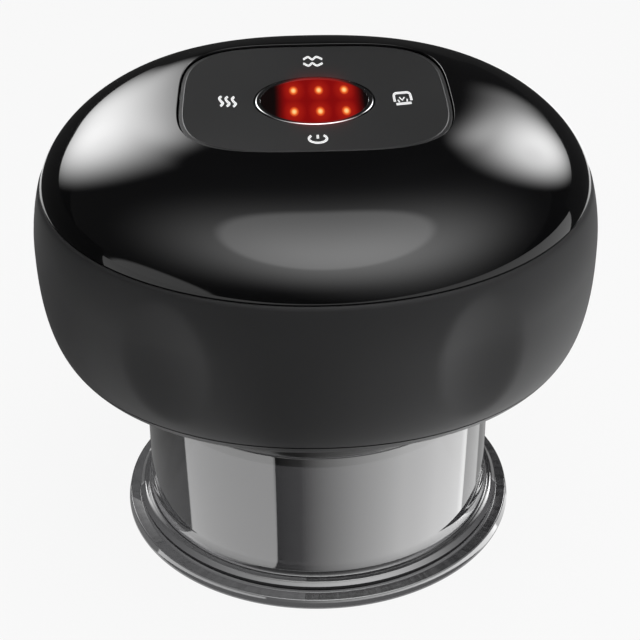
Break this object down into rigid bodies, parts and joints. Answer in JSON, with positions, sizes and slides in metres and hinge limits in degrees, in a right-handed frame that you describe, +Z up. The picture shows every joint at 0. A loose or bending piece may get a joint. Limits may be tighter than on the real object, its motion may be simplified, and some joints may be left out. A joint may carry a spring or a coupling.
{
  "type": "electric cupping massager",
  "caption": "Battery powered suction cup massager: a squashed round pump head with a rocking square control panel and lit display, on a smoked clear flanged cup.",
  "frame": {"origin": "centre of the cup's rim, on the plane it stands on", "axes": "+Z up through the head; the front, with the power key, faces -Y; +X is to the right as seen from the front"},
  "size_m": [0.0944, 0.096, 0.08],
  "materials": {
    "smoked_cup": "smoked clear hard plastic, polished",
    "seal_rubber": "soft grey ring",
    "gloss_cover": "piano black, polished",
    "matt_shell": "soft-touch dark grey",
    "matt_base": "fine matt dark grey",
    "collar_plastic": "satin black",
    "inner_nylon": "natural nylon",
    "display_chrome": "bright plated ring",
    "display_window": "smoked clear window",
    "inner_black": "moulded black",
    "red_lamp": "red clear",
    "circuit_board": "green solder mask",
    "cell_wrap": "blue shrink wrap",
    "lead": "red insulation",
    "plated_steel": "plated steel",
    "red_silicone": "moulded silicone",
    "copper_winding": "enamelled copper",
    "tube_silicone": "milky silicone",
    "warming_plate": "brushed",
    "heater_film": "amber film",
    "felt": "white felt and foam",
    "panel_plastic": "satin black with white icons"
  },
  "bodies": {
    "cup": {"cup": "smoked_cup"},
    "seal": {"cup_seal": "seal_rubber"},
    "head": {"top_cover": "gloss_cover", "side_shell": "matt_shell", "base_cover": "matt_base", "cup_socket": "collar_plastic", "chassis": "inner_nylon", "display_ring": "display_chrome", "display_window": "display_window", "led_holder": "inner_black", "indicator_led_1": "red_lamp", "indicator_led_2": "red_lamp", "indicator_led_3": "red_lamp", "indicator_led_4": "red_lamp", "indicator_led_5": "red_lamp", "indicator_led_6": "red_lamp", "control_board": "circuit_board", "switch_power": "inner_black", "switch_heat": "inner_black", "switch_massage": "inner_black", "switch_suction": "inner_black", "battery_cell": "cell_wrap", "battery_strap": "inner_black", "battery_lead": "lead", "pump_motor": "plated_steel", "pump_clamp": "inner_black", "pump_body": "inner_nylon", "pump_diaphragm": "red_silicone", "pump_head": "inner_black", "motor_lead": "lead", "valve_yoke": "plated_steel", "valve_coil": "copper_winding", "valve_seat": "inner_black", "air_tee": "inner_black", "suction_tube": "tube_silicone", "valve_tube": "tube_silicone", "pump_tube": "tube_silicone", "heating_plate": "warming_plate", "heater_film": "heater_film", "heater_insulator": "felt", "lamp_lens": "red_lamp", "lamp_board": "circuit_board", "filter_pad": "felt", "charge_board": "circuit_board", "charge_port": "plated_steel", "base_screw_1": "plated_steel", "base_screw_2": "plated_steel", "base_screw_3": "plated_steel", "base_screw_4": "plated_steel"},
    "mat": {"key_mat": "tube_silicone"},
    "panel": {"control_panel": "panel_plastic"},
    "power_plunger": {"plunger_power": "inner_nylon"},
    "heat_plunger": {"plunger_heat": "inner_nylon"},
    "massage_plunger": {"plunger_massage": "inner_nylon"},
    "suction_plunger": {"plunger_suction": "inner_nylon"},
    "pump_rotor": {"motor_shaft": "plated_steel", "pump_crank": "inner_nylon"},
    "valve_armature": {"valve_plunger": "plated_steel"},
    "filter": {"filter_cap": "inner_black"}
  },
  "joints": [
    {"name": "head_lift", "type": "slide", "parent": "cup", "child": "seal", "axis": [0, 0, 1], "range_m": [0, 0.03]},
    {"name": "head_turn", "type": "hinge", "parent": "seal", "child": "head", "pos_m": [0, 0, 0.029], "axis": [0, 0, 1], "continuous": true},
    {"name": "panel_tilt_x", "type": "hinge", "parent": "head", "child": "mat", "pos_m": [0, 0, 0.07705], "axis": [1, 0, 0], "range_deg": [-1.2, 1.2], "stiffness_Nm_per_rad": 1.2},
    {"name": "panel_tilt_y", "type": "hinge", "parent": "mat", "child": "panel", "pos_m": [0, 0, 0.07705], "axis": [0, 1, 0], "range_deg": [-1.2, 1.2], "stiffness_Nm_per_rad": 1.2},
    {"name": "power_click", "type": "slide", "parent": "head", "child": "power_plunger", "axis": [0, 0, -1], "range_m": [0, 0.00025], "stiffness_N_per_m": 6400},
    {"name": "heat_click", "type": "slide", "parent": "head", "child": "heat_plunger", "axis": [0, 0, -1], "range_m": [0, 0.00025], "stiffness_N_per_m": 6400},
    {"name": "massage_click", "type": "slide", "parent": "head", "child": "massage_plunger", "axis": [0, 0, -1], "range_m": [0, 0.00025], "stiffness_N_per_m": 6400},
    {"name": "suction_click", "type": "slide", "parent": "head", "child": "suction_plunger", "axis": [0, 0, -1], "range_m": [0, 0.00025], "stiffness_N_per_m": 6400},
    {"name": "motor_spin", "type": "hinge", "parent": "head", "child": "pump_rotor", "pos_m": [0, 0.014, 0.0585], "axis": [1, 0, 0], "continuous": true},
    {"name": "valve_stroke", "type": "slide", "parent": "head", "child": "valve_armature", "axis": [-1, 0, 0], "range_m": [0, 0.0012], "stiffness_N_per_m": 500},
    {"name": "filter_pull", "type": "slide", "parent": "head", "child": "filter", "axis": [0, 0, -1], "range_m": [0, 0.008]}
  ]
}
